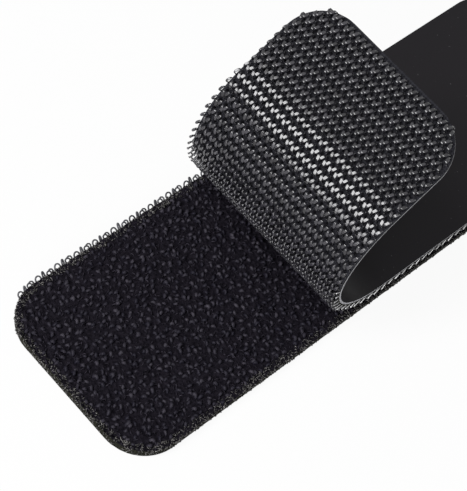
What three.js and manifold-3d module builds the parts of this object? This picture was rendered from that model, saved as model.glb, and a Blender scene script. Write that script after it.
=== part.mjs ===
// A pair of stick-on hook-and-loop strips with rounded corners, the hook strip peeled back from one end.
// Millimetres, +Z up. The origin is the middle of the loop strip's adhesive face, +X runs along the strips.
// The hook strip bends, so its peeled stretch is a row of short links hinged along the back film.
import * as THREE from "three";
import { mergeGeometries, mergeVertices } from "three/addons/utils/BufferGeometryUtils.js";
import Module from "manifold-3d";

const wasm = await Module();
wasm.setup();

// Both strips: outline
const STRIP_LENGTH = 100;
const STRIP_WIDTH = 30;
const CORNER_RADIUS = 6.6;

// Loop strip: layers from the adhesive face up
const LOOP_FILM = 0.3;
const LOOP_TAPE = 0.45;
const LOOP_PILE = 1.0;

// Hook strip: layers from the back film out to the hooks
const HOOK_FILM = 0.3;
const HOOK_TAPE = 0.3;
const HOOK_BED = 0.15;
const HOOK_HEIGHT = 1.2;

// Where the hook tips stop above the pile: room for the links, which stay curved when they lie flat
const ENGAGE_GAP = 0.6;

// The peel: a flat stretch still closed, a round bend and a straight flap
const PEELED_LENGTH = 46.2;
const BEND_RADIUS = 12.5;
const BEND_ANGLE = THREE.MathUtils.degToRad(147);
const LINK_COUNT = 5;
const HINGE_CLEARANCE = 0.2;

// Hooks: spacing, strand and the reach of the bent tip
const HOOK_PITCH_ALONG = 3.2;
const HOOK_PITCH_ACROSS = 2.8;
const HOOK_STRAND = 0.34;
const HOOK_REACH = 0.85;
const HOOK_TIP_DROP = 0.45;
const HOOK_SHOULDER = 0.5;
const HOOK_ROOT_DEPTH = 0.06;
const HOOK_EDGE_MARGIN = 0.7;

// Facets: a hook's section and bend, a rounded corner's quarter turn, and the bed under each hook row
const HOOK_SIDES = 3;
const HOOK_STEPS = 3;
const CORNER_SEGMENTS = 8;
const FACETS_PER_ROW = 3;

// Heights and lengths that follow from the sizes above
const pileTop = LOOP_FILM + LOOP_TAPE + LOOP_PILE;
const hookBedDepth = HOOK_FILM + HOOK_TAPE;
const hookRootDepth = hookBedDepth + HOOK_BED;
const backHeight = pileTop + ENGAGE_GAP + HOOK_HEIGHT + hookRootDepth;
const peelFrontX = -STRIP_LENGTH / 2 + PEELED_LENGTH;
const linkAngle = BEND_ANGLE / LINK_COUNT;
const linkChord = 2 * BEND_RADIUS * Math.sin(linkAngle / 2);
const linkHalfSpan = (linkChord - HINGE_CLEARANCE) / 2;
const bendMiddleZ = BEND_RADIUS * Math.cos(linkAngle / 2);
const linkRows = Math.max(1, Math.round(linkChord / HOOK_PITCH_ALONG));
const bendFacets = FACETS_PER_ROW * linkRows;
const flapLength = PEELED_LENGTH - LINK_COUNT * linkChord;
const closedLength = STRIP_LENGTH - PEELED_LENGTH;

// Finishes, copied for each piece
const PILE_FINISH = new THREE.MeshStandardMaterial({ color: 0x17171b, roughness: 0.95, metalness: 0 });
const TAPE_FINISH = new THREE.MeshStandardMaterial({ color: 0x1c1c1e, roughness: 0.85, metalness: 0 });
const FILM_FINISH = new THREE.MeshStandardMaterial({ color: 0x141315, roughness: 0.45, metalness: 0 });
const HOOK_FINISH = new THREE.MeshStandardMaterial({ color: 0x2a2a2d, roughness: 0.4, metalness: 0 });

// Solids for joining

function solidFrom(geometry) {
  const bare = geometry.clone();
  bare.deleteAttribute("normal");
  bare.deleteAttribute("uv");
  const merged = mergeVertices(bare);
  return new wasm.Manifold(
    new wasm.Mesh({
      numProp: 3,
      vertProperties: merged.getAttribute("position").array,
      triVerts: new Uint32Array(merged.index.array),
    }),
  );
}

function geometryFrom(solid) {
  const mesh = solid.getMesh();
  const geometry = new THREE.BufferGeometry();
  geometry.setAttribute("position", new THREE.BufferAttribute(mesh.vertProperties, 3));
  geometry.setIndex(new THREE.BufferAttribute(mesh.triVerts, 1));
  geometry.computeVertexNormals();
  return geometry;
}

function named(name, geometry, material) {
  const mesh = new THREE.Mesh(geometry, material.clone());
  mesh.name = name;
  return mesh;
}

// Plates: a strip outline with round or square ends, seen from above

function plateOutline(left, right, leftRadius, rightRadius) {
  const half = STRIP_WIDTH / 2;
  const quarter = Math.PI / 2;
  const shape = new THREE.Shape();
  shape.moveTo(left + leftRadius, -half);
  shape.lineTo(right - rightRadius, -half);
  if (rightRadius) shape.absarc(right - rightRadius, -half + rightRadius, rightRadius, -quarter, 0);
  shape.lineTo(right, half - rightRadius);
  if (rightRadius) shape.absarc(right - rightRadius, half - rightRadius, rightRadius, 0, quarter);
  shape.lineTo(left + leftRadius, half);
  if (leftRadius) shape.absarc(left + leftRadius, half - leftRadius, leftRadius, quarter, 2 * quarter);
  shape.lineTo(left, -half + leftRadius);
  if (leftRadius) shape.absarc(left + leftRadius, -half + leftRadius, leftRadius, 2 * quarter, 3 * quarter);
  return shape;
}

function plate(outline, bottom, thickness) {
  const geometry = new THREE.ExtrudeGeometry(outline, {
    depth: thickness,
    bevelEnabled: false,
    curveSegments: CORNER_SEGMENTS,
  });
  return geometry.translate(0, 0, bottom);
}

// One layer of a link, bent to the curl: it lies between two depths below the back face, and both its ends
// are square to the link's chord, so that neighbouring links meet flush when the strip lies flat.
function bentPlate(innerDepth, outerDepth) {
  const middleX = -linkChord / 2;
  const down = -Math.PI / 2;
  const inner = BEND_RADIUS + innerDepth;
  const outer = BEND_RADIUS + outerDepth;
  const points = [];
  for (const [radius, way] of [[outer, 1], [inner, -1]]) {
    const halfTurn = Math.asin(linkHalfSpan / radius);
    for (let step = 0; step <= bendFacets; step++) {
      const turn = down + way * halfTurn * ((2 * step) / bendFacets - 1);
      const x = middleX + radius * Math.cos(turn);
      const z = bendMiddleZ + radius * Math.sin(turn);
      points.push(new THREE.Vector2(x, z));
    }
  }
  const geometry = new THREE.ExtrudeGeometry(new THREE.Shape(points), {
    depth: STRIP_WIDTH,
    bevelEnabled: false,
  });
  return geometry.rotateX(Math.PI / 2).translate(0, STRIP_WIDTH / 2, 0);
}

// Hooks: each is one bent strand standing out of its bed, with its tip turned along the strip

function hookStrand(x, y, surface, lean) {
  const root = surface + HOOK_ROOT_DEPTH;
  const crown = surface - HOOK_HEIGHT + HOOK_STRAND / 2;
  const path = new THREE.CatmullRomCurve3([
    new THREE.Vector3(x, y, root),
    new THREE.Vector3(x, y, surface - HOOK_SHOULDER),
    new THREE.Vector3(x + (lean * HOOK_REACH) / 2, y, crown),
    new THREE.Vector3(x + lean * HOOK_REACH, y, crown + HOOK_TIP_DROP),
  ]);
  const corners = [];
  for (let side = 0; side < HOOK_SIDES; side++) {
    const turn = (side * 2 * Math.PI) / HOOK_SIDES;
    corners.push(new THREE.Vector2(Math.cos(turn), Math.sin(turn)).multiplyScalar(HOOK_STRAND / 2));
  }
  return new THREE.ExtrudeGeometry(new THREE.Shape(corners), {
    steps: HOOK_STEPS,
    bevelEnabled: false,
    extrudePath: path,
  });
}

// Whether a hook's whole reach stays on a plate whose far end, at endX, is rounded.
function onRoundedEnd(x, y, endX) {
  const insideX = Math.abs(endX - x) - HOOK_EDGE_MARGIN;
  const insideY = STRIP_WIDTH / 2 - Math.abs(y) - HOOK_EDGE_MARGIN;
  if (insideX < HOOK_REACH || insideY < 0) return false;
  const overX = CORNER_RADIUS - insideX;
  const overY = CORNER_RADIUS - insideY;
  return overX < 0 || overY < 0 || Math.hypot(overX, overY) < CORNER_RADIUS;
}

function hookRow(x, surface, firstLean, keep = () => true) {
  const columns = Math.floor((STRIP_WIDTH - 2 * HOOK_EDGE_MARGIN) / HOOK_PITCH_ACROSS);
  const strands = [];
  for (let column = 0; column < columns; column++) {
    const y = (column - (columns - 1) / 2) * HOOK_PITCH_ACROSS;
    const lean = (column + firstLean) % 2 ? 1 : -1;
    if (keep(x, y)) strands.push(hookStrand(x, y, surface, lean));
  }
  return strands;
}

function hookBed(bed, strands) {
  return geometryFrom(solidFrom(bed).add(solidFrom(mergeGeometries(strands))));
}

// Hook rows spread evenly over a straight stretch that runs from the hinge at x = 0 to a rounded end.
function hookRowsTo(endX) {
  const count = Math.floor((Math.abs(endX) - HINGE_CLEARANCE) / HOOK_PITCH_ALONG);
  const step = endX / count;
  const strands = [];
  for (let row = 0; row < count; row++) {
    const x = (row + 0.5) * step;
    strands.push(...hookRow(x, -hookRootDepth, row, (hookX, y) => onRoundedEnd(hookX, y, endX)));
  }
  return strands;
}

// Loop strip

function loopStrip() {
  const end = STRIP_LENGTH / 2;
  const outline = plateOutline(-end, end, CORNER_RADIUS, CORNER_RADIUS);
  const group = new THREE.Group();
  group.add(named("loop_back_film", plate(outline, 0, LOOP_FILM), FILM_FINISH));
  group.add(named("loop_ground_tape", plate(outline, LOOP_FILM, LOOP_TAPE), TAPE_FINISH));
  group.add(named("loop_pile", plate(outline, LOOP_FILM + LOOP_TAPE, LOOP_PILE), PILE_FINISH));
  return group;
}

// Hook strip: every stretch is built in the frame of the hinge it starts from, with its back face at z = 0

function straightStretch(label, outline, endX) {
  const bed = plate(outline, -hookRootDepth, HOOK_BED);
  const group = new THREE.Group();
  group.add(named(`hook_back_film_${label}`, plate(outline, -HOOK_FILM, HOOK_FILM), FILM_FINISH));
  group.add(named(`hook_ground_tape_${label}`, plate(outline, -hookBedDepth, HOOK_TAPE), TAPE_FINISH));
  group.add(named(`hook_field_${label}`, hookBed(bed, hookRowsTo(endX)), HOOK_FINISH));
  return group;
}

// The hook rows of a link, each standing square on the middle of a flat facet of the bent bed
function linkHooks(firstLean) {
  const radius = BEND_RADIUS + hookRootDepth;
  const halfTurn = Math.asin(linkHalfSpan / radius);
  const surface = -radius * Math.cos(halfTurn / bendFacets);
  const strands = [];
  for (let row = 0; row < linkRows; row++) {
    const turn = halfTurn * ((2 * row + 1) / linkRows - 1);
    for (const strand of hookRow(0, surface, firstLean + row)) {
      strands.push(strand.rotateY(turn).translate(-linkChord / 2, 0, bendMiddleZ));
    }
  }
  return strands;
}

function link(number) {
  const label = `link_${String(number).padStart(2, "0")}`;
  const bed = bentPlate(hookBedDepth, hookRootDepth);
  const strands = linkHooks(number * linkRows);
  const group = new THREE.Group();
  group.add(named(`hook_back_film_${label}`, bentPlate(0, HOOK_FILM), FILM_FINISH));
  group.add(named(`hook_ground_tape_${label}`, bentPlate(HOOK_FILM, hookBedDepth), TAPE_FINISH));
  group.add(named(`hook_rows_${label}`, hookBed(bed, strands), HOOK_FINISH));
  return group;
}

function hookStrip() {
  const seam = HINGE_CLEARANCE / 2;
  const closed = straightStretch("closed", plateOutline(seam, closedLength, 0, CORNER_RADIUS), closedLength);
  closed.position.set(peelFrontX, 0, backHeight);
  let parent = closed;
  for (let number = 1; number <= LINK_COUNT; number++) {
    const next = link(number);
    next.position.x = number > 1 ? -linkChord : 0;
    next.rotation.y = number > 1 ? linkAngle : linkAngle / 2;
    parent.add(next);
    parent = next;
  }
  const flap = straightStretch("flap", plateOutline(-flapLength, -seam, CORNER_RADIUS, 0), -flapLength);
  flap.position.x = -linkChord;
  flap.rotation.y = linkAngle / 2;
  parent.add(flap);
  return closed;
}

const strips = new THREE.Group();
strips.add(loopStrip());
strips.add(hookStrip());

export default strips;
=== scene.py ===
import math

import bpy
import numpy as np
from mathutils import Matrix, Vector


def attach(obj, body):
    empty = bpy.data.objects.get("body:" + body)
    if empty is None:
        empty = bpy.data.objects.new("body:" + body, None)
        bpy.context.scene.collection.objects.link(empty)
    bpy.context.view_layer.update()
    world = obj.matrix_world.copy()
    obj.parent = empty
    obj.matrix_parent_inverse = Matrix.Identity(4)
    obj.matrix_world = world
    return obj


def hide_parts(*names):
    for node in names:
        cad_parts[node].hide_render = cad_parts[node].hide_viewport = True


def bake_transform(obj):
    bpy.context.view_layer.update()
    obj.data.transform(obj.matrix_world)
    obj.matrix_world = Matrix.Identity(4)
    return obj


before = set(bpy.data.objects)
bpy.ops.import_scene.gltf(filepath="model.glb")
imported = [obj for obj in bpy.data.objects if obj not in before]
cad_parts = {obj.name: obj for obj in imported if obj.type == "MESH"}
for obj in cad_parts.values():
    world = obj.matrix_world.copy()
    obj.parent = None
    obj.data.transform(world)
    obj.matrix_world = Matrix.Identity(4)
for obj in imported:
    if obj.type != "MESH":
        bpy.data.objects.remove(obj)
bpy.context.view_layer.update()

# A pair of hook-and-loop strips with rounded ends, the hook strip peeled back in a bend.
# Sizes are in millimetres and become metres only where they are handed to Blender.
MM = 0.001
RANDOM_SEED = 7

# Strips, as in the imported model
STRIP_LENGTH = 100.0
HALF_WIDTH = 15.0
CORNER_RADIUS = 6.6
LOOP_FILM = 0.3
LOOP_TAPE = 0.45
HOOK_FILM = 0.3
HOOK_GROUND = 0.3
BACK_HEIGHT = 4.3
PEELED_LENGTH = 46.2
BEND_RADIUS = 12.5
BEND_ANGLE = math.radians(147)
LINK_COUNT = 5

HOOK_BED = HOOK_FILM + HOOK_GROUND
PEEL_X = PEELED_LENGTH - STRIP_LENGTH / 2
LINK_ANGLE = BEND_ANGLE / LINK_COUNT
LINK_LENGTH = BEND_RADIUS * LINK_ANGLE
BEND_LENGTH = BEND_RADIUS * BEND_ANGLE
LINK_CHORD = 2 * BEND_RADIUS * math.sin(LINK_ANGLE / 2)
FLAP_LENGTH = PEELED_LENGTH - LINK_COUNT * LINK_CHORD
CLOSED_END = PEELED_LENGTH - STRIP_LENGTH
FLAP_END = BEND_LENGTH + FLAP_LENGTH
LOOP_ENDS = (-STRIP_LENGTH / 2, STRIP_LENGTH / 2)
HOOK_ENDS = (CLOSED_END, FLAP_END)

# Meshes of the layers: steps along and round the strips, columns across them, and scale of the UV map
LOOP_STRIP_STEP = 0.5
HOOK_STRIP_STEP = 0.6
JOIN_STEP = 0.04            # short step at both ends of a stretch
CORNER_STEPS = 8
LAYER_COLUMNS = 40
PILE_COLUMNS = 60
MARK_DECIMALS = 5
END_TOLERANCE = 1e-6
UV_PER_MM = 0.01

# Hooks, in rows across the strip, leaning forwards and backwards by turns
HOOK_ROW_PITCH = 1.44
HOOK_COLUMN_PITCH = 0.565
HOOK_COLUMNS = 53
HOOK_END_MARGIN = 0.3
HOOK_SIDE_MARGIN = 0.25
HOOK_RADIUS = 0.14
HOOK_SIZES = (0.95, 1.05)
HOOK_JITTER = 0.04
HOOK_PAIRING = 0.06         # shift across the strip, which brings neighbours together in pairs
HOOK_ROOT_SHIFT = 0.29      # shift of the root along the strip, against the lean
HOOK_SKEW = 0.35            # turn of a hook out of the strip's direction
HOOK_FAR_SPLAY = 0.12       # outward lean of the far edge's hooks round the bend
HOOK_FLAP_SPLAY = -0.15     # the same on the flap, where they lean inwards
HOOK_NEAR_SPLAY = 0.1       # outward lean of the near edge's hooks
HOOK_EDGE_SLIMNESS = 0.75   # thickness of the far edge's hooks beside the others'
HOOK_CROWN_REACH = 0.46     # reach of the middle of the crown, as in the steps below
HOOK_TWIST = 0.008          # tilt of the crowns, in radians to a millimetre across the strip
HOOK_FLAP_TILT = 0.28       # tilt of the crowns on the flap, in radians

# Steps of a hook from root to tip: reach, height, thickness and width, the last two as shares of the radius
HOOK_STEPS = np.array([
    (0.0, -0.05, 1.2, 1.0), (0.0, 0.55, 1.0, 1.0), (0.02, 0.8, 1.0, 1.0), (0.06, 0.95, 1.0, 1.05),
    (0.12, 1.04, 1.0, 1.1), (0.18, 1.077, 1.0, 1.2), (0.2, 1.0848, 1.0, 1.4), (0.235, 1.09, 1.0, 1.7),
    (0.46, 1.096, 1.0, 1.8), (0.685, 1.09, 1.0, 1.7), (0.72, 1.0848, 1.0, 1.4), (0.74, 1.077, 1.0, 1.2),
    (0.8, 1.02, 0.95, 1.1), (0.86, 0.92, 0.8, 1.0), (0.88, 0.78, 0.55, 0.9)])
HOOK_FLAT_STEPS = (5, 7, 8, 10)    # steps of the crown whose upper side is shaded flat

# Steps of the cut stub that stands before each hook's tip
STUB_STEPS = np.array([(0.9, -0.05, 1.1, 1.0), (0.91, 0.16, 0.95, 1.0), (0.94, 0.28, 0.75, 1.0)])

# Corners of a hook strand's section, with a broad upper side between the second and the third
HOOK_SECTION = np.radians([0, 42, 138, 180, 222, 318])
UPPER_SIDE = 1

# Cut ends of thread that stand out of the near edge, row by row, as far as the side of the bend shows them
# Their near-white colour is a painted highlight
CUT_END_PATH = np.array([(-0.15, -0.12), (0.05, 0.1), (0.35, 0.4), (0.62, 0.75)])
CUT_END_RADIUS = 0.075
CUT_END_SIDES = 5
CUT_END_REACH = 0.15        # how far they stand out of the edge at most
CUT_END_REACHES = (0.4, 1.0)    # shares of that reach
CUT_END_DEPTH = 0.02        # how far inside the edge they start
CUT_END_LAST = 19.0         # place along the strip of the last ones
CUT_END_JITTER = 0.15
CUT_END_SIZES = (0.75, 1.15)

# Shades of the strands: whole thread up to the first value, painted-highlight cut ends between the other
# two
NYLON_SHADES = 0.8
CUT_END_SHADES = (0.9, 1.0)

# Pile: its floor, where the loops start, and the loops' pitch, distance from the edge, radius, span and
# crown height
PILE_FLOOR = 1.36
PILE_ROUGHNESS = 0.2
LOOP_BASE = 0.93
TUFTS = dict(pitch=1.08, margin=0.8, radius=(0.19, 0.27), span=(0.36, 0.7), top=(1.46, 1.76), sides=6)
FUZZ = dict(pitch=0.9, margin=0.3, radius=(0.06, 0.09), span=(0.4, 0.8), top=(1.46, 1.72), sides=4)
LOOP_STEPS = 6
LOOP_JITTER = 0.4           # share of the pitch
LOOP_LEAN = 0.55            # radians
LOOP_SKEW = 0.3             # share of the span
LOOP_SHADES = (1.4, 2.3)    # shape of the spread of shades, more of them dark than pale

# Rim of fine loops round the loop strip: how many to a millimetre, how far up the side wall and in from
# the edge they stand, and their radius, half span and rise
RIM_DENSITY = 17.0
RIM_FOOT = 0.35
RIM_INSET = 1.0
RIM_WALL_SHARE = 0.4
RIM_RADIUS = (0.045, 0.06)
RIM_SPAN = (0.1, 0.2)
RIM_RISE = (0.08, 0.2)
RIM_STEPS = 4
RIM_SIDES = 4
RIM_SHADES = (1.2, 3.0)     # as for the loops of the pile
OUTLINE_CORNER_STEPS = 12

# Standing rings along the far long edge of the loop strip: a round one, a narrow slanted one and a
# double curl
RING_PERIOD = 3.48
RING_START = -45.8          # x of the first ring
RING_RADIUS = 0.125
RING_ROOT = 0.2             # distance of the roots from the edge
RING_STEPS = 16
RING_SIDES = 6
RING_JITTER = 0.05
RING_SIZES = (0.93, 1.07)
RING_TILTS = (0.75, 1.0)    # radians from upright
RINGS = [dict(offset=0.0, turns=1.0, half_span=0.44, half_rise=0.5, slant=0.0, drift=0.0, climb=0.0),
         dict(offset=0.9, turns=1.0, half_span=0.15, half_rise=0.56, slant=0.06, drift=0.0, climb=0.0),
         dict(offset=1.65, turns=1.7, half_span=0.46, half_rise=0.4, slant=0.0, drift=0.06, climb=0.02)]

# Floor, light and camera. The camera looks down on the peeled end from the near left, turned about its
# own axis.
FLOOR_SIZE = 3000.0
FLOOR_DROP = 0.02
FLOOR_COLOUR = (0.86, 0.86, 0.86, 1)
FLOOR_WHITE_SHARE = 0.93
AMBIENT = 0.225
LAMP_DISTANCE = 450.0
IMAGE_LONG_SIDE = 491
CAMERA_AZIMUTH = math.radians(-60.95)
CAMERA_ELEVATION = math.radians(55.93)
CAMERA_ROLL = math.radians(-22.1)
CAMERA_DISTANCE = 273.3
CAMERA_FOCAL_PIXELS = 1893.3
CAMERA_TARGET = Vector((-14.95, 3.82, 0))
CAMERA_SENSOR = 36.0
CAMERA_CLIP = 5.0

ALONG = np.array([1.0, 0.0, 0.0])
ACROSS = np.array([0.0, 1.0, 0.0])
UPWARD = np.array([0.0, 0.0, 1.0])

rng = np.random.default_rng(RANDOM_SEED)


def jitter(limit, shape):
    """Random shifts up to a limit either way."""
    return rng.uniform(-limit, limit, shape)


# Strip shapes: where a point of a strip lies, from its place along and across the strip and its height

def hook_strip_point(along, across, depth):
    """A point of the hook strip: along starts at the peel front, and depth at the back film, outwards."""
    along, across, depth = np.broadcast_arrays(along, across, depth)
    turn = np.clip(along, 0, BEND_LENGTH) / BEND_RADIUS
    straight = np.minimum(along, 0) + np.maximum(along - BEND_LENGTH, 0)
    x = PEEL_X - BEND_RADIUS * np.sin(turn) - straight * np.cos(turn) - depth * np.sin(turn)
    z = BACK_HEIGHT + BEND_RADIUS * (1 - np.cos(turn)) + straight * np.sin(turn) - depth * np.cos(turn)
    return np.stack([x, across, z], axis=-1)


def loop_strip_point(along, across, height):
    """A point of the loop strip: along is x, height is measured from the adhesive face."""
    return np.stack(np.broadcast_arrays(along, across, height), axis=-1).astype(float)


def half_width(along, low_end, high_end):
    """Half the strip's width at a place along it, less near its rounded ends."""
    inset = np.minimum(along - low_end, high_end - along)
    short = np.clip(CORNER_RADIUS - inset, 0, CORNER_RADIUS)
    return HALF_WIDTH - CORNER_RADIUS + np.sqrt(CORNER_RADIUS ** 2 - short ** 2)


def stations(start, stop, ends, step):
    """Places along a strip from start to stop, closer together round a rounded end and at both ends,
    so that neighbouring stretches shade as one surface."""
    low_end, high_end = ends
    marks = list(np.linspace(start, stop, max(2, int(round((stop - start) / step)) + 1)))
    turns = CORNER_RADIUS * (1 - np.cos(np.linspace(0, math.pi / 2, CORNER_STEPS + 1)))
    marks += [low_end + t for t in turns if start < low_end + t < stop]
    marks += [high_end - t for t in turns if start < high_end - t < stop]
    marks += [start + JOIN_STEP, stop - JOIN_STEP]
    return np.unique(np.round(marks, MARK_DECIMALS))


# Meshes

def mesh_object(name, points, faces, materials, face_materials=None, smooth=True, uv=None, shade=None):
    """A mesh piece from points in millimetres; all faces in one array have the same number of corners."""
    mesh = bpy.data.meshes.new(name)
    points = np.asarray(points, float).reshape(-1, 3) * MM
    corners = np.concatenate([f.ravel() for f in faces]).astype(np.int32)
    sizes = np.concatenate([np.full(len(f), f.shape[1]) for f in faces])
    starts = np.concatenate([[0], np.cumsum(sizes)[:-1]]).astype(np.int32)
    mesh.vertices.add(len(points))
    mesh.vertices.foreach_set("co", points.ravel())
    mesh.loops.add(len(corners))
    mesh.loops.foreach_set("vertex_index", corners)
    mesh.polygons.add(len(sizes))
    mesh.polygons.foreach_set("loop_start", starts)
    if face_materials is not None:
        mesh.polygons.foreach_set("material_index", np.asarray(face_materials, np.int32))
    mesh.polygons.foreach_set("use_smooth", np.array(np.broadcast_to(smooth, len(sizes))))
    mesh.update(calc_edges=True)
    if uv is not None:
        layer = mesh.uv_layers.new(name="strip")
        layer.data.foreach_set("uv", np.asarray(uv, float).reshape(-1, 2)[corners].ravel())
    if shade is not None:
        attribute = mesh.attributes.new("shade", "FLOAT", "POINT")
        attribute.data.foreach_set("value", np.asarray(shade, np.float32))
    for material in materials:
        mesh.materials.append(material)
    piece = bpy.data.objects.new(name, mesh)
    bpy.context.scene.collection.objects.link(piece)
    return piece


def grid_faces(index):
    """Four-cornered faces between the rows and columns of a grid of point numbers."""
    corners = [index[:-1, :-1], index[1:, :-1], index[1:, 1:], index[:-1, 1:]]
    return np.stack(corners, axis=-1).reshape(-1, 4)


def slab(name, place, marks, ends, low, high, materials, outer_bumps=0.0, columns=LAYER_COLUMNS):
    """One layer of a strip between two heights. Materials: outer face, inner face, edges.
    ends says where the strip's own ends are; the layer gets an end wall only there."""
    low_end, high_end = ends
    share = np.linspace(-1, 1, columns + 1)
    along = np.repeat(marks[:, None], columns + 1, axis=1)
    across = half_width(marks, low_end, high_end)[:, None] * share[None, :]
    outer = place(along, across, high + jitter(outer_bumps, along.shape))
    inner = place(along, across, low)
    index = np.arange(along.size).reshape(along.shape)
    points = [outer.reshape(-1, 3), inner.reshape(-1, 3)]
    uvs = [np.stack([along, across], axis=-1).reshape(-1, 2)] * 2
    faces = [grid_faces(index), grid_faces(index + along.size)[:, ::-1]]
    face_kinds = [0, 1]
    walls = [(outer[:, -1], inner[:, -1], along[:, -1], False),
             (outer[:, 0], inner[:, 0], along[:, 0], True)]
    if marks[-1] >= high_end - END_TOLERANCE:
        walls.append((outer[-1], inner[-1], across[-1], True))
    if marks[0] <= low_end + END_TOLERANCE:
        walls.append((outer[0], inner[0], across[0], False))
    first = 2 * along.size
    for top, bottom, run, flip in walls:
        length = len(top)
        upper = first + np.arange(length)
        lower = upper + length
        quads = np.stack([lower[:-1], upper[:-1], upper[1:], lower[1:]], axis=-1)
        faces.append(quads[:, ::-1] if flip else quads)
        points += [top, bottom]
        uvs += [np.stack([run, np.full(length, level)], axis=-1) for level in (high, low)]
        face_kinds.append(2)
        first += 2 * length
    face_materials = np.concatenate([np.full(len(f), kind) for f, kind in zip(faces, face_kinds)])
    uv = np.concatenate(uvs) * UV_PER_MM
    return mesh_object(name, np.concatenate(points), faces, materials, face_materials, uv=uv)


def round_section(sides):
    """Angles of the corners of a round strand's section."""
    return np.arange(sides) * 2 * math.pi / sides


def plane_paths(root, run, sideways, up, rise):
    """Paths of strands, each in a plane of its own: sideways along run and rising along up from a root."""
    return root[:, None, :] + sideways[:, :, None] * run[:, None, :] + rise[:, :, None] * up[:, None, :]


def tube_parts(paths, binormals, radii, section, shade, widths=1.0, flat_steps=()):
    """Points, faces, shades and smooth flags of strands. paths is (strands, points, 3), each strand flat in
    the plane square to its binormal; the upper side of the flat steps, if any, is shaded flat."""
    count, length, _ = paths.shape
    sides = len(section)
    tangents = np.gradient(paths, axis=1)
    tangents /= np.linalg.norm(tangents, axis=2, keepdims=True)
    wide = np.broadcast_to(binormals[:, None, :], paths.shape)
    high = np.cross(wide, tangents)
    half_widths = (radii * widths)[:, :, None, None]
    half_heights = radii[:, :, None, None]
    points = (paths[:, :, None, :] + half_widths * np.cos(section)[:, None] * wide[:, :, None, :]
              + half_heights * np.sin(section)[:, None] * high[:, :, None, :])
    index = np.arange(count * length * sides).reshape(count, length, sides)
    near = np.roll(index, -1, axis=2)
    quads = np.stack([near[:, :-1], index[:, :-1], index[:, 1:], near[:, 1:]], axis=-1)
    smooth = np.ones(quads.shape[:3], bool)
    for step in flat_steps:
        smooth[:, step, UPPER_SIDE] = False
    caps = np.concatenate([index[:, -1, ::-1], index[:, 0, :]])
    smooth = np.concatenate([smooth.ravel(), np.ones(len(caps), bool)])
    shade = np.repeat(np.broadcast_to(shade, (count, length)).ravel(), sides)
    return points.reshape(-1, 3), [quads.reshape(-1, 4), caps], shade, smooth


def strand_object(name, parts, material):
    """One piece from several sets of tube parts."""
    points, faces, shades, smooths = [], [], [], []
    first = 0
    for part_points, part_faces, part_shades, part_smooths in parts:
        points.append(part_points)
        faces += [f + first for f in part_faces]
        shades.append(part_shades)
        smooths.append(part_smooths)
        first += len(part_points)
    smooth, shade = np.concatenate(smooths), np.concatenate(shades)
    return mesh_object(name, np.concatenate(points), faces, [material], smooth=smooth, shade=shade)


# Materials

def new_material(name):
    """A new material with its node tree and its shader."""
    material = bpy.data.materials.new(name)
    material.use_nodes = True
    tree = material.node_tree
    return material, tree, tree.nodes["Principled BSDF"]


def set_inputs(node, **values):
    """Sets a node's sockets by name, with _ for each space in a name."""
    for key, value in values.items():
        node.inputs[key.replace("_", " ")].default_value = value


def ramp(tree, source, stops):
    """A colour for each value of source, from stops of place and colour."""
    node = tree.nodes.new("ShaderNodeValToRGB")
    elements = node.color_ramp.elements
    while len(elements) < len(stops):
        elements.new(0.5)
    for element, (place, colour) in zip(elements, stops):
        element.position = place
        element.color = (*colour, 1)
    tree.links.new(source, node.inputs["Fac"])
    return node.outputs["Color"]


def strip_coordinates(tree, scale=(1, 1)):
    """The place along and across the strip, in millimetres times scale."""
    uv = tree.nodes.new("ShaderNodeUVMap")
    uv.uv_map = "strip"
    mapping = tree.nodes.new("ShaderNodeMapping")
    set_inputs(mapping, Scale=(scale[0] / UV_PER_MM, scale[1] / UV_PER_MM, 1 / UV_PER_MM))
    tree.links.new(uv.outputs["UV"], mapping.inputs["Vector"])
    return mapping.outputs["Vector"]


def noise(tree, vector, scale, detail=2.0):
    """Noise at a number of patches to a millimetre."""
    node = tree.nodes.new("ShaderNodeTexNoise")
    set_inputs(node, Scale=scale, Detail=detail)
    tree.links.new(vector, node.inputs["Vector"])
    return node.outputs["Fac"]


def spread(tree, source, low, high):
    """Values between low and high for a source between 0 and 1."""
    node = tree.nodes.new("ShaderNodeMapRange")
    set_inputs(node, To_Min=low, To_Max=high)
    tree.links.new(source, node.inputs["Value"])
    return node.outputs["Result"]


def larger(tree, first, second):
    """The larger of two values."""
    node = tree.nodes.new("ShaderNodeMath")
    node.operation = "MAXIMUM"
    tree.links.new(first, node.inputs[0])
    tree.links.new(second, node.inputs[1])
    return node.outputs["Value"]


def bump(tree, height, shader, strength, distance):
    """Bumps on a shader's surface, as deep as distance in millimetres."""
    node = tree.nodes.new("ShaderNodeBump")
    set_inputs(node, Strength=strength, Distance=distance * MM)
    tree.links.new(height, node.inputs["Height"])
    tree.links.new(node.outputs["Normal"], shader.inputs["Normal"])


def film_material():
    """Satin black film with faint mottling and a few pale dust specks."""
    material, tree, shader = new_material("film_satin")
    set_inputs(shader, Specular_IOR_Level=0.1)
    vector = strip_coordinates(tree)
    black = (0.0144, 0.013, 0.0154)
    dust = (0.144, 0.144, 0.154)
    specks = noise(tree, vector, scale=1.9, detail=3.0)
    colour = ramp(tree, specks, [(0.0, black), (0.7, black), (0.78, dust)])
    roughness = spread(tree, noise(tree, vector, scale=0.35), low=0.3, high=0.46)
    tree.links.new(colour, shader.inputs["Base Color"])
    tree.links.new(roughness, shader.inputs["Roughness"])
    bump(tree, noise(tree, vector, scale=6.0), shader, strength=0.12, distance=0.04)
    return material


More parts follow.
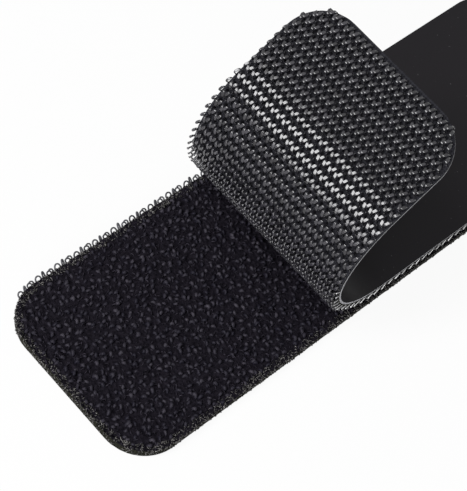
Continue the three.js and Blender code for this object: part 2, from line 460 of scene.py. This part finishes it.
def weave_material(name, dark, pale, roughness, gloss, pitch):
    """Fine plain weave with a soft gloss, its threads along and across the strip."""
    material, tree, shader = new_material(name)
    set_inputs(shader, Roughness=roughness, Specular_IOR_Level=gloss)
    vector = strip_coordinates(tree, (1 / pitch, 1 / pitch))
    one_band = math.pi / 10    # scale at which the wave has one band to each pitch
    threads = []
    for direction in ("X", "Y"):
        wave = tree.nodes.new("ShaderNodeTexWave")
        wave.bands_direction = direction
        set_inputs(wave, Scale=one_band, Distortion=0.6, Detail=1.0)
        tree.links.new(vector, wave.inputs["Vector"])
        threads.append(wave.outputs["Fac"])
    height = larger(tree, *threads)
    tree.links.new(ramp(tree, height, [(0.0, dark), (1.0, pale)]), shader.inputs["Base Color"])
    bump(tree, height, shader, strength=0.5, distance=0.08)
    return material


def edge_material(name, dark, pale, scale):
    """The cut side of a strip: frayed threads, light and dark."""
    material, tree, shader = new_material(name)
    set_inputs(shader, Roughness=0.8, Specular_IOR_Level=0.03)
    grain = noise(tree, strip_coordinates(tree, scale), scale=3.0, detail=4.0)
    tree.links.new(ramp(tree, grain, [(0.35, dark), (0.7, pale)]), shader.inputs["Base Color"])
    bump(tree, grain, shader, strength=0.5, distance=0.06)
    return material


def strand_material(name, dark, pale, roughness, gloss, cut=None):
    """Nylon strands, each a little lighter or darker than the next; cut is the painted highlight colour of
    their cut ends.
    """
    material, tree, shader = new_material(name)
    set_inputs(shader, Roughness=roughness, Specular_IOR_Level=gloss)
    attribute = tree.nodes.new("ShaderNodeAttribute")
    attribute.attribute_name = "shade"
    stops = [(0.0, dark), (NYLON_SHADES, pale), (1.0, cut or pale)]
    # On the pile's loops the shade attribute also holds a painted highlight at the crown and painted shade
    # at the feet
    tree.links.new(ramp(tree, attribute.outputs["Fac"], stops), shader.inputs["Base Color"])
    return material


def pile_floor_material():
    """The dark bed of yarn under the loops."""
    material, tree, shader = new_material("pile_floor")
    set_inputs(shader, Roughness=0.9, Specular_IOR_Level=0.03)
    dark = (0.0064, 0.0056, 0.0084)
    pale = (0.0188, 0.0162, 0.0226)
    yarn = noise(tree, strip_coordinates(tree), scale=2.2, detail=4.0)
    tree.links.new(ramp(tree, yarn, [(0.35, dark), (0.75, pale)]), shader.inputs["Base Color"])
    bump(tree, yarn, shader, strength=0.8, distance=0.3)
    return material


FILM = film_material()
HOOK_TAPE = weave_material("hook_ground", dark=(0.0095, 0.0095, 0.0122), pale=(0.025, 0.025, 0.0305),
                           roughness=0.55, gloss=0.04, pitch=0.42)
LOOP_WEAVE = weave_material("loop_ground", dark=(0.028, 0.028, 0.038), pale=(0.068, 0.068, 0.076),
                            roughness=0.7, gloss=0.05, pitch=0.5)
CUT_EDGE = edge_material("cut_edge", dark=(0.144, 0.144, 0.154), pale=(0.76, 0.76, 0.8), scale=(1, 4))
DARK_EDGE = edge_material("dark_edge", dark=(0.0024, 0.0024, 0.0024), pale=(0.028, 0.028, 0.0192),
                          scale=(2, 2))
# The near-white colour for the cut ends is a painted highlight, for light catching the near edge's threads
HOOK_NYLON = strand_material("hook_nylon", dark=(0.011, 0.0103, 0.0127), pale=(0.032, 0.0306, 0.0372),
                             roughness=0.16, gloss=0.6, cut=(0.9, 0.9, 0.9))
# The pale ends of these two ramps show at the loops' crowns, as a painted highlight
TUFT_NYLON = strand_material("tuft_nylon", dark=(0.0096, 0.0086, 0.0144), pale=(0.045, 0.0406, 0.052),
                             roughness=0.45, gloss=0.09)
FUZZ_NYLON = strand_material("fuzz_nylon", dark=(0.0096, 0.0086, 0.0124), pale=(0.044, 0.0388, 0.0524),
                             roughness=0.7, gloss=0.05)
RIM_NYLON = strand_material("rim_nylon", dark=(0.0144, 0.014, 0.013), pale=(0.27, 0.26, 0.254),
                            roughness=0.6, gloss=0.08)
RING_NYLON = strand_material("ring_nylon", dark=(0.028, 0.028, 0.032), pale=(0.09, 0.09, 0.1),
                             roughness=0.45, gloss=0.3)
PILE_FLOOR_YARN = pile_floor_material()


# Loop strip

def inside_outline(x, y, margin):
    """Which points lie inside the strip's outline, at least the margin from its edge."""
    over_x = np.maximum(np.abs(x) - (STRIP_LENGTH / 2 - CORNER_RADIUS), 0)
    over_y = np.maximum(np.abs(y) - (HALF_WIDTH - CORNER_RADIUS), 0)
    return np.hypot(over_x, over_y) < CORNER_RADIUS - margin


def pile_loops(pitch, margin, radius, span, top, sides):
    """Loose nylon loops, each an arch of its own width, height, heading, lean and tone, with a painted
    highlight at its crown and painted shade at its feet.
    """
    grid = np.meshgrid(np.arange(*LOOP_ENDS, pitch), np.arange(-HALF_WIDTH, HALF_WIDTH, pitch))
    x, y = (places.ravel() + jitter(LOOP_JITTER, places.size) * pitch for places in grid)
    keep = inside_outline(x, y, margin)
    x, y = x[keep], y[keep]
    count = len(x)
    heading = rng.uniform(0, math.pi, count)
    width = rng.uniform(*span, (count, 1))
    rise = rng.uniform(*top, (count, 1)) - LOOP_BASE
    lean = jitter(LOOP_LEAN, (count, 1))
    skew = jitter(LOOP_SKEW, (count, 1))
    run = np.stack([np.cos(heading), np.sin(heading), np.zeros(count)], axis=-1)
    side = np.cross(UPWARD, run)
    up = np.cos(lean) * UPWARD + np.sin(lean) * side
    phase = np.linspace(0, math.pi, LOOP_STEPS + 1)
    sideways = (skew * np.sin(phase) - np.cos(phase) / 2) * width
    root = np.stack([x, y, np.full(count, LOOP_BASE)], axis=-1)
    paths = plane_paths(root, run, sideways, up, rise * np.sin(phase))
    radii = np.repeat(rng.uniform(*radius, (count, 1)), len(phase), axis=1)
    # Each loop's own tone, times a painted highlight at the crown that fades to painted shade at the feet
    shade = NYLON_SHADES * rng.beta(*LOOP_SHADES, (count, 1)) * np.sin(phase) ** 2
    return tube_parts(paths, np.cross(run, up), radii, round_section(sides), shade)


def outline_walk(share):
    """Points of the strip's outline at shares of the way round it, with the outward directions there."""
    quarter = np.linspace(0, math.pi / 2, OUTLINE_CORNER_STEPS + 1)
    turns = np.concatenate([quarter + corner * math.pi / 2 for corner in range(4)] + [[2 * math.pi]])
    corner = np.minimum(np.arange(len(turns)) // len(quarter), 4)
    sign_x, sign_y = np.array([(1, 1), (-1, 1), (-1, -1), (1, -1), (1, 1)])[corner].T
    x = sign_x * (STRIP_LENGTH / 2 - CORNER_RADIUS) + CORNER_RADIUS * np.cos(turns)
    y = sign_y * (HALF_WIDTH - CORNER_RADIUS) + CORNER_RADIUS * np.sin(turns)
    walked = np.concatenate([[0], np.cumsum(np.hypot(np.diff(x), np.diff(y)))])
    place = share * walked[-1]
    heading = np.interp(place, walked, turns)
    outward = np.stack([np.cos(heading), np.sin(heading), np.zeros(len(heading))], axis=-1)
    return np.interp(place, walked, x), np.interp(place, walked, y), outward


def rim_loops():
    """Fine loops that fray out of the side wall and the pile's border, out at the foot and up inside."""
    perimeter = 4 * (STRIP_LENGTH / 2 + HALF_WIDTH - 2 * CORNER_RADIUS) + 2 * math.pi * CORNER_RADIUS
    count = int(RIM_DENSITY * perimeter)
    x, y, outward = outline_walk(rng.uniform(0, 1, count))
    level = rng.uniform(0, 1, count)
    on_wall = np.minimum(level / RIM_WALL_SHARE, 1)
    on_top = np.maximum((level - RIM_WALL_SHARE) / (1 - RIM_WALL_SHARE), 0)
    height = RIM_FOOT + on_wall * (PILE_FLOOR - RIM_FOOT)
    root = np.stack([x, y, height], axis=-1) - (on_top * RIM_INSET)[:, None] * outward
    lift = ((on_wall + on_top) * math.pi / 4)[:, None]
    out = np.cos(lift) * outward + np.sin(lift) * UPWARD
    slope = np.cos(lift) * UPWARD - np.sin(lift) * outward
    edgewise = np.cross(UPWARD, outward)
    heading = rng.uniform(0, math.pi, (count, 1))
    run = np.cos(heading) * edgewise + np.sin(heading) * slope
    phase = np.linspace(0, math.pi, RIM_STEPS + 1)
    sideways = rng.uniform(*RIM_SPAN, (count, 1)) * -np.cos(phase)
    rise = rng.uniform(*RIM_RISE, (count, 1)) * np.sin(phase)
    paths = plane_paths(root, run, sideways, out, rise)
    radii = np.repeat(rng.uniform(*RIM_RADIUS, (count, 1)), len(phase), axis=1)
    shade = NYLON_SHADES * rng.beta(*RIM_SHADES, (count, 1))
    return tube_parts(paths, np.cross(run, out), radii, round_section(RIM_SIDES), shade)


def edge_rings(offset, turns, half_span, half_rise, slant, drift, climb):
    """Standing rings of one kind along the far selvedge, one to a period."""
    starts = np.arange(RING_START, -RING_START, RING_PERIOD)
    count = len(starts)
    phase = np.linspace(0, turns * 2 * math.pi, RING_STEPS + 1)
    sideways = half_span * np.sin(phase) + slant * (1 - np.cos(phase)) + drift * phase
    rise = half_rise * (1 - np.cos(phase)) + climb * phase
    x = starts + offset + jitter(RING_JITTER, count)
    size = rng.uniform(*RING_SIZES, (count, 1))
    tilt = rng.uniform(*RING_TILTS, (count, 1))
    edge = half_width(x, *LOOP_ENDS) - RING_ROOT
    root = np.stack([x, edge, np.full(count, LOOP_BASE)], axis=-1)
    up = np.sin(tilt) * ACROSS + np.cos(tilt) * UPWARD
    run = np.tile(ALONG, (count, 1))
    paths = plane_paths(root, run, size * sideways, up, size * rise)
    radii = np.full((count, len(phase)), RING_RADIUS)
    shade = rng.uniform(0, NYLON_SHADES, (count, 1))
    return tube_parts(paths, np.cross(run, up), radii, round_section(RING_SIDES), shade)


def loop_layer(name, low, high, face, **options):
    """One layer of the loop strip from end to end, with one material on both faces."""
    marks = stations(*LOOP_ENDS, LOOP_ENDS, LOOP_STRIP_STEP)
    return slab(name, loop_strip_point, marks, LOOP_ENDS, low, high, [face, face, DARK_EDGE], **options)


tape_top = LOOP_FILM + LOOP_TAPE
loop_film = loop_layer("loop_film", 0, LOOP_FILM, FILM)
loop_tape = loop_layer("loop_tape", LOOP_FILM, tape_top, LOOP_WEAVE)
pile_floor = loop_layer("loop_pile_floor", tape_top, PILE_FLOOR, PILE_FLOOR_YARN,
                        outer_bumps=PILE_ROUGHNESS, columns=PILE_COLUMNS)
tufts = strand_object("loop_pile_tufts", [pile_loops(**TUFTS)], TUFT_NYLON)
fuzz = strand_object("loop_pile_fuzz", [pile_loops(**FUZZ)], FUZZ_NYLON)
rim = strand_object("loop_pile_rim", [rim_loops()], RIM_NYLON)
rings = strand_object("loop_edge_rings", [edge_rings(**kind) for kind in RINGS], RING_NYLON)

loop_pieces = [(loop_film, "loop_film", "loop_back_film"), (loop_tape, "loop_tape", "loop_ground_tape")]
loop_pieces += [(piece, "loop_pile", "loop_pile") for piece in (pile_floor, tufts, fuzz, rim, rings)]
for piece, slot_name, node in loop_pieces:
    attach(piece, "loop_strip")
    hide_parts(node)


# Hook strip: stretches that ride on one body, and stretches that lie over one hinge of the bend, fixed in
# place

def hook_rows(start, stop):
    """Places of the rows of hooks between two places along the hook strip."""
    first, last = (math.ceil(place / HOOK_ROW_PITCH - 0.5) for place in (start, stop))
    return (np.arange(first, last) + 0.5) * HOOK_ROW_PITCH


def hook_strands(start, stop):
    """The hooks and cut stubs whose rows lie between two places along the hook strip."""
    columns = np.arange(HOOK_COLUMNS)
    along, column = (grid.ravel() for grid in np.meshgrid(hook_rows(start, stop), columns, indexing="ij"))
    across = (column - (HOOK_COLUMNS - 1) / 2) * HOOK_COLUMN_PITCH
    inset = np.minimum(along - CLOSED_END, FLAP_END - along)
    within = np.abs(across) < half_width(along, *HOOK_ENDS) - HOOK_SIDE_MARGIN
    keep = (inset > HOOK_END_MARGIN) & within
    column, along, across = column[keep], along[keep], across[keep]
    count = len(along)
    lean = np.where(column % 2 == 0, 1.0, -1.0)
    outermost = HALF_WIDTH - HOOK_COLUMN_PITCH
    far_splay = np.where(along < BEND_LENGTH, HOOK_FAR_SPLAY, HOOK_FLAP_SPLAY)
    splay = far_splay * (across > outermost) - HOOK_NEAR_SPLAY * (across < -outermost)
    slimness = np.where(across > outermost, HOOK_EDGE_SLIMNESS, 1.0)
    along = along - lean * HOOK_ROOT_SHIFT + jitter(HOOK_JITTER, count)
    across = across + lean * HOOK_PAIRING + jitter(HOOK_JITTER, count)
    tilt = np.clip((along - BEND_LENGTH) / BEND_RADIUS, 0, HOOK_FLAP_TILT) - HOOK_TWIST * across
    size = rng.uniform(*HOOK_SIZES, count)
    shade = rng.uniform(0, NYLON_SHADES, (count, 1))
    binormals = -lean[:, None] * ACROSS
    parts = []
    for steps, flat_steps in ((HOOK_STEPS, HOOK_FLAT_STEPS), (STUB_STEPS, ())):
        reach, rise, thickness, widths = steps.T
        reach = size[:, None] * reach
        past_crown = reach - HOOK_CROWN_REACH
        height = size[:, None] * rise * (1 - (np.tan(tilt) * lean)[:, None] * past_crown)
        aside = splay[:, None] * height - HOOK_SKEW * past_crown
        paths = hook_strip_point(along[:, None] + lean[:, None] * reach, across[:, None] + aside,
                                 HOOK_BED + height)
        radii = HOOK_RADIUS * thickness * (size * slimness)[:, None]
        parts.append(tube_parts(paths, binormals, radii, HOOK_SECTION, shade, widths, flat_steps))
    return parts


def cut_ends(start, stop):
    """Cut thread ends on the near edge between two places along the hook strip, pale as a painted
    highlight.
    """
    along = hook_rows(start, stop)
    along = along[(along < CUT_END_LAST) & (along > CLOSED_END + CORNER_RADIUS)]
    count = len(along)
    along = along + jitter(CUT_END_JITTER, count)
    size = rng.uniform(*CUT_END_SIZES, (count, 1))
    reach, height = CUT_END_PATH.T
    outwards = np.linspace(0, CUT_END_REACH, len(CUT_END_PATH)) * rng.uniform(*CUT_END_REACHES, (count, 1))
    paths = hook_strip_point(along[:, None] + size * reach, CUT_END_DEPTH - HALF_WIDTH - outwards,
                             HOOK_BED + size * height)
    radii = np.full((count, len(CUT_END_PATH)), CUT_END_RADIUS)
    binormals = np.tile(-ACROSS, (count, 1))
    shade = rng.uniform(*CUT_END_SHADES, (count, 1))
    return tube_parts(paths, binormals, radii, round_section(CUT_END_SIDES), shade)


def hook_stretch(label, start, stop, hook_pieces=1):
    """Film, ground and hooks of the hook strip between two places, the hooks in one or more pieces."""
    marks = stations(start, stop, HOOK_ENDS, HOOK_STRIP_STEP)
    film = slab("hook_film_" + label, hook_strip_point, marks, HOOK_ENDS, 0, HOOK_FILM,
                [FILM, FILM, CUT_EDGE])
    ground = slab("hook_ground_" + label, hook_strip_point, marks, HOOK_ENDS, HOOK_FILM, HOOK_BED,
                  [HOOK_TAPE, HOOK_TAPE, DARK_EDGE])
    pieces = [film, ground]
    cuts = np.linspace(start, stop, hook_pieces + 1)
    for number, (first, last) in enumerate(zip(cuts[:-1], cuts[1:])):
        strands = hook_strands(first, last)
        if first < CUT_END_LAST:
            strands.append(cut_ends(first, last))
        hooks = strand_object("hook_strands_" + label + "_more" * number, strands, HOOK_NYLON)
        pieces.append(hooks)
    return pieces


def stands_for(pieces, label, hooks_name):
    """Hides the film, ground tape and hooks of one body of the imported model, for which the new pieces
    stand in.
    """
    film, ground, *hooks = pieces
    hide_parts("hook_back_film_" + label)
    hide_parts("hook_ground_tape_" + label)
    for piece in hooks:
        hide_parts(hooks_name + label)


half_link = LINK_LENGTH / 2
labels = ["closed"] + [f"link_{n:02d}" for n in range(1, LINK_COUNT + 1)] + ["flap"]
closed_pieces = hook_stretch("closed", CLOSED_END, -half_link, hook_pieces=2)
flap_pieces = hook_stretch("flap", BEND_LENGTH + half_link, FLAP_END)
for pieces, label in ((closed_pieces, "closed"), (flap_pieces, "flap")):
    stands_for(pieces, label, "hook_field_")
    for piece in pieces:
        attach(piece, "hook_strip_" + label)
for hinge in range(LINK_COUNT + 1):
    start = hinge * LINK_LENGTH - half_link
    stop = hinge * LINK_LENGTH + half_link
    pieces = hook_stretch(f"bend_{hinge}", start, stop)
    if hinge > 0:
        stands_for(pieces, labels[hinge], "hook_rows_")
    before, after = (tuple(hook_strip_point(place, 0.0, 0.0) * MM) for place in (start, stop))
    for piece in pieces:
        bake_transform(piece)


# Floor, light and camera

def seen_directly(tree):
    """1 for rays from the camera, off gloss and through glass, 0 for the light that falls on the object."""
    path = tree.nodes.new("ShaderNodeLightPath")
    total = path.outputs["Is Camera Ray"]
    for name in ("Is Glossy Ray", "Is Transmission Ray"):
        total = larger(tree, total, path.outputs[name])
    return total


def floor_material():
    """White floor: plain white to the camera, with a faint contact shadow left in it."""
    material, tree, shader = new_material("floor_white")
    set_inputs(shader, Base_Color=FLOOR_COLOUR, Roughness=0.9, Specular_IOR_Level=0.1)
    glow = tree.nodes.new("ShaderNodeEmission")
    set_inputs(glow, Color=(1, 1, 1, 1))
    mix = tree.nodes.new("ShaderNodeMixShader")
    tree.links.new(spread(tree, seen_directly(tree), 0.0, FLOOR_WHITE_SHARE), mix.inputs["Fac"])
    tree.links.new(shader.outputs["BSDF"], mix.inputs[1])
    tree.links.new(glow.outputs["Emission"], mix.inputs[2])
    tree.links.new(mix.outputs["Shader"], tree.nodes["Material Output"].inputs["Surface"])
    return material


def studio_world():
    """White surroundings, dimmer where they light the object."""
    world = bpy.data.worlds.new("studio")
    world.use_nodes = True
    tree = world.node_tree
    background = tree.nodes["Background"]
    set_inputs(background, Color=(1, 1, 1, 1))
    tree.links.new(spread(tree, seen_directly(tree), AMBIENT, 1.0), background.inputs["Strength"])
    return world


def area_light(name, target, direction, size, power):
    """A soft box that shines on target, in millimetres, from a direction."""
    light = bpy.data.lights.new(name, "AREA")
    light.shape = "RECTANGLE"
    light.size, light.size_y = size[0] * MM, size[1] * MM
    light.energy = power
    lamp = bpy.data.objects.new(name, light)
    bpy.context.scene.collection.objects.link(lamp)
    towards = Vector(direction).normalized()
    lamp.location = (Vector(target) + towards * LAMP_DISTANCE) * MM
    lamp.rotation_mode = "QUATERNION"
    lamp.rotation_quaternion = towards.to_track_quat("Z", "Y")


def photo_camera():
    """The camera at the photograph's viewing angle."""
    data = bpy.data.cameras.new("camera")
    data.sensor_width = CAMERA_SENSOR
    data.lens = CAMERA_FOCAL_PIXELS * CAMERA_SENSOR / IMAGE_LONG_SIDE
    data.clip_start = CAMERA_CLIP * MM
    camera = bpy.data.objects.new("camera", data)
    bpy.context.scene.collection.objects.link(camera)
    level_right = Vector((math.cos(CAMERA_AZIMUTH), math.sin(CAMERA_AZIMUTH), 0))
    backward = Vector((math.sin(CAMERA_AZIMUTH), -math.cos(CAMERA_AZIMUTH), 0))
    towards = math.cos(CAMERA_ELEVATION) * backward + math.sin(CAMERA_ELEVATION) * Vector((0, 0, 1))
    level_up = towards.cross(level_right)
    right = math.cos(CAMERA_ROLL) * level_right - math.sin(CAMERA_ROLL) * level_up
    up = math.sin(CAMERA_ROLL) * level_right + math.cos(CAMERA_ROLL) * level_up
    turn = Matrix((right, up, towards)).transposed().to_4x4()
    camera.matrix_world = Matrix.Translation((CAMERA_TARGET + towards * CAMERA_DISTANCE) * MM) @ turn
    return camera


floor_half = FLOOR_SIZE / 2
floor_sides = ((-1, -1), (1, -1), (1, 1), (-1, 1))
floor_corners = [(x * floor_half, y * floor_half, -FLOOR_DROP) for x, y in floor_sides]
floor = mesh_object("floor", floor_corners, [np.array([[0, 1, 2, 3]])], [floor_material()])

area_light("key", target=(-12, 0, 24), direction=(-0.64, 0.271, 0.72), size=(110, 420), power=1.95)
area_light("fill", target=(-12, 0, 10), direction=(-0.92, -0.33, 0.2), size=(200, 200), power=1.4)
bpy.context.scene.world = studio_world()
bpy.context.scene.camera = photo_camera()
bpy.context.scene.view_settings.view_transform = "Standard"
